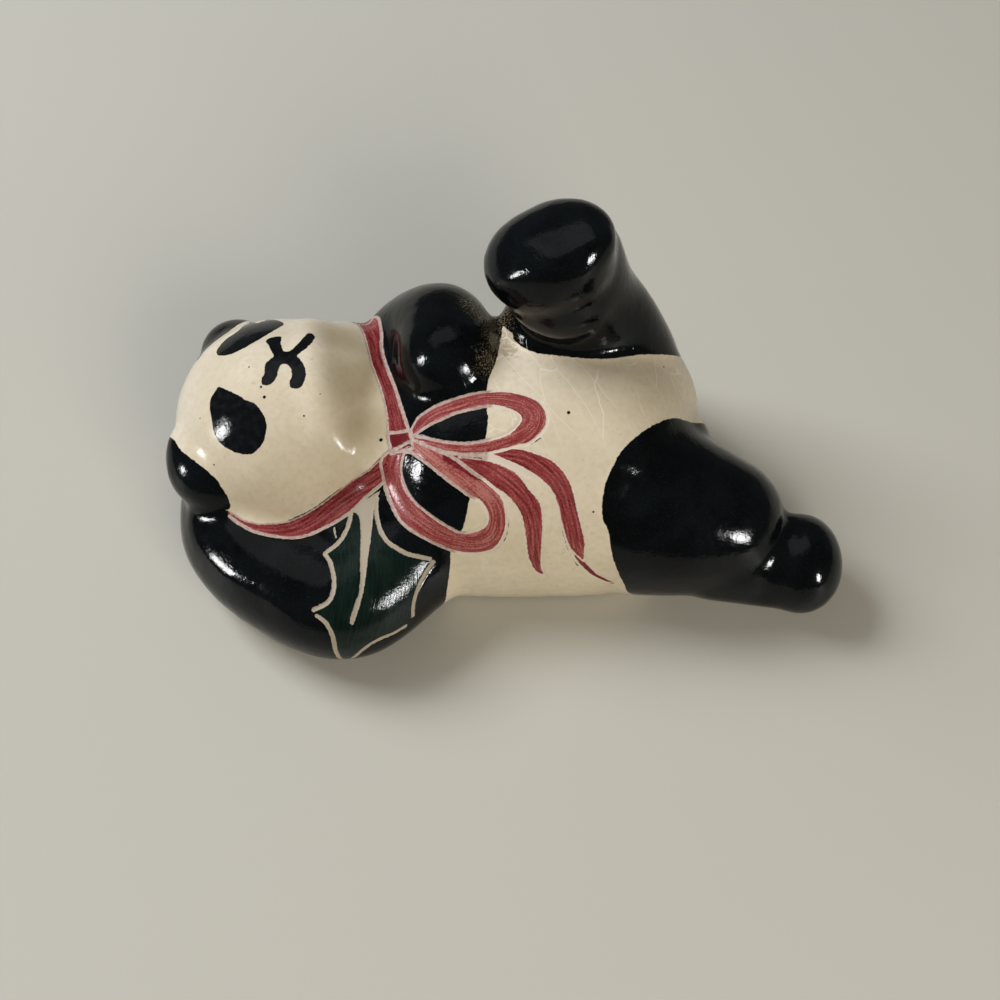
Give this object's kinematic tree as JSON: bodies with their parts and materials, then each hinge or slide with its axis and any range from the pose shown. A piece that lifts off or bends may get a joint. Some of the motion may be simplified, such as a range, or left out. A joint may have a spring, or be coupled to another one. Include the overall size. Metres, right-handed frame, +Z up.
{
  "type": "panda figurine",
  "caption": "Glazed stoneware panda lying on its back on a flat underside, an arm under its head, a paw on its chest and one foot in the air.",
  "frame": {"origin": "middle of the bounding box in X and Y, at the height of the flat underside", "axes": "+X from the head to the feet, +Y from the arm under the head to the raised leg, +Z up from the table it lies on"},
  "size_m": [0.095, 0.0518, 0.0479],
  "materials": {
    "glaze": "gloss"
  },
  "bodies": {
    "root": {"panda": "glaze"}
  },
  "joints": []
}
